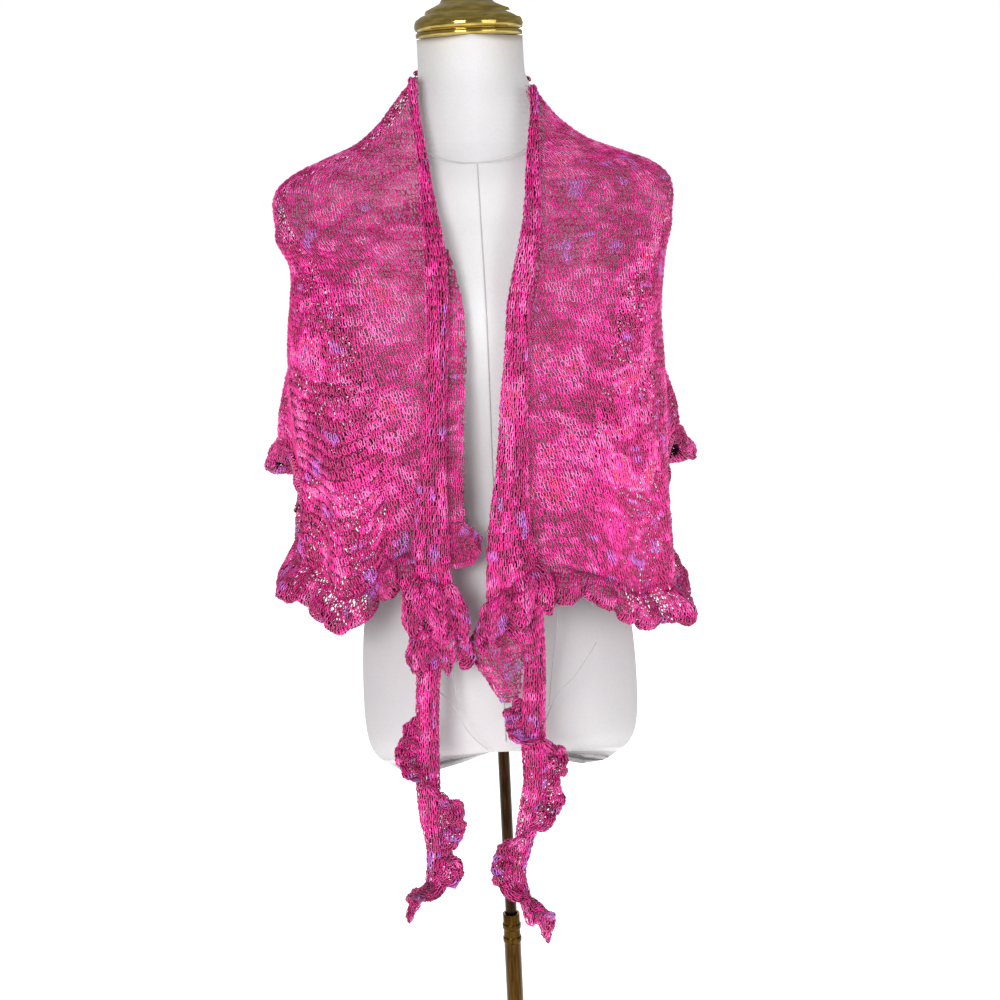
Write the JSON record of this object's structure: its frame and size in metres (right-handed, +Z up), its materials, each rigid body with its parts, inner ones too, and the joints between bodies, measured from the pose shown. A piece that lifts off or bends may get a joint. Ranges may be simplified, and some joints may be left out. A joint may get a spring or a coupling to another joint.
{
  "type": "knitted shrug on dress form",
  "caption": "Open knitted wrap with curled fronts, ruffled edge and long tie ends, draped over a limbless dress form on a sliding pole stand.",
  "frame": {"origin": "on the floor under the middle of the pole", "axes": "+Z up along the pole, the form faces -Y, +X to the right seen from the front"},
  "size_m": [0.4951, 0.32, 1.516],
  "materials": {
    "knit": "fine open knit of slubby viscose yarn",
    "ruffle": "dense curled knit edging of the same yarn",
    "canvas": "off-white canvas stretched over padding",
    "brass": "polished, turned",
    "bronze": "dark bronze, satin"
  },
  "bodies": {
    "stand": {"stand_base": "bronze", "pole_lower": "bronze"},
    "form": {"front_panel_left": "knit", "front_panel_right": "knit", "back_panel": "knit", "neck_roll": "knit", "front_roll_left": "knit", "front_roll_right": "knit", "tie_end_left": "knit", "tie_end_right": "knit", "front_inner_left": "knit", "hem_ruffle_front_left": "ruffle", "hem_ruffle_side_left": "ruffle", "hem_ruffle_back": "ruffle", "hem_ruffle_side_right": "ruffle", "hem_ruffle_front_right": "ruffle", "inner_ruffle_left": "ruffle", "end_ruffle_left_upper": "ruffle", "end_ruffle_left_lower": "ruffle", "end_ruffle_right": "ruffle", "end_drape_right": "ruffle", "tie_ruffle_left": "ruffle", "tie_ruffle_right": "ruffle", "form_body": "canvas", "neck_cap": "brass", "pole_upper": "bronze"}
  },
  "joints": [
    {"name": "height_slide", "type": "slide", "parent": "stand", "child": "form", "axis": [0, 0, 1], "range_m": [-0.15, 0.12]}
  ]
}
